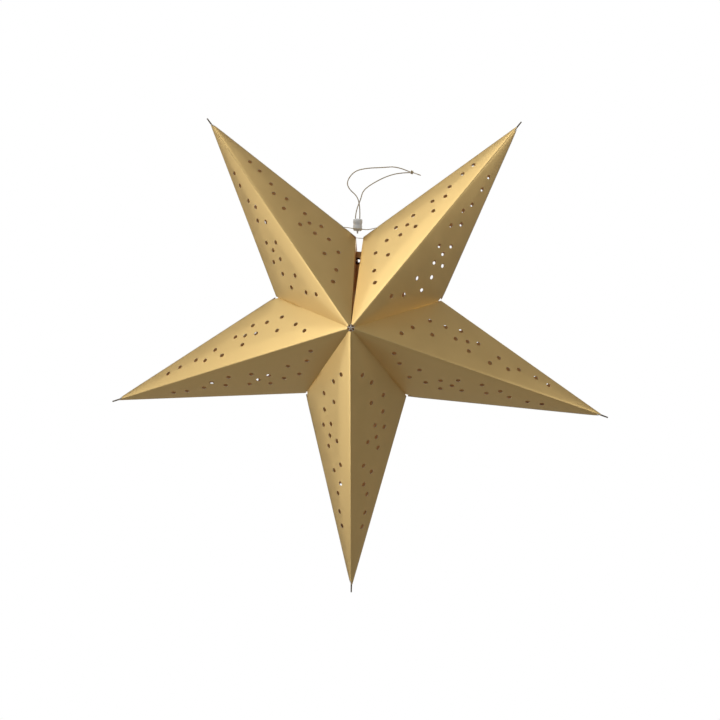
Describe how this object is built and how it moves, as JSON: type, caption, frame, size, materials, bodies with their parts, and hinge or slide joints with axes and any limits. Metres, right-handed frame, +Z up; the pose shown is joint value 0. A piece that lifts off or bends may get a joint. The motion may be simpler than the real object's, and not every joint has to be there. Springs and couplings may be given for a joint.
{
  "type": "paper star lantern",
  "caption": "Hollow folded card star with punched arms, an open seam tied by a cord, and a hanging loop with a stopper.",
  "frame": {"origin": "the star's centre, on the line through its front and back peaks, in the plane of its points", "axes": "+Z up as it hangs, with the open seam on top; the front faces -Y; +X to the right seen from the front"},
  "size_m": [0.5764, 0.1786, 0.545],
  "materials": {
    "gold_card": "satin gold print outside, cream card inside",
    "bronzed_metal": "dark bronzed",
    "white_plastic": "semi-gloss",
    "gold_cord": "twisted metallic thread",
    "white_thread": "twisted cotton"
  },
  "bodies": {
    "root": {"arm_top_left": "gold_card", "arm_left": "gold_card", "arm_bottom": "gold_card", "arm_right": "gold_card", "arm_top_right": "gold_card", "eyelet": "bronzed_metal", "cord_stopper": "white_plastic", "loop_strand_left": "gold_cord", "loop_strand_right": "gold_cord", "loop_knot": "gold_cord", "tie_cord": "gold_cord", "tie_knot_left": "gold_cord", "tie_knot_right": "gold_cord", "seam_thread": "white_thread"}
  },
  "joints": []
}
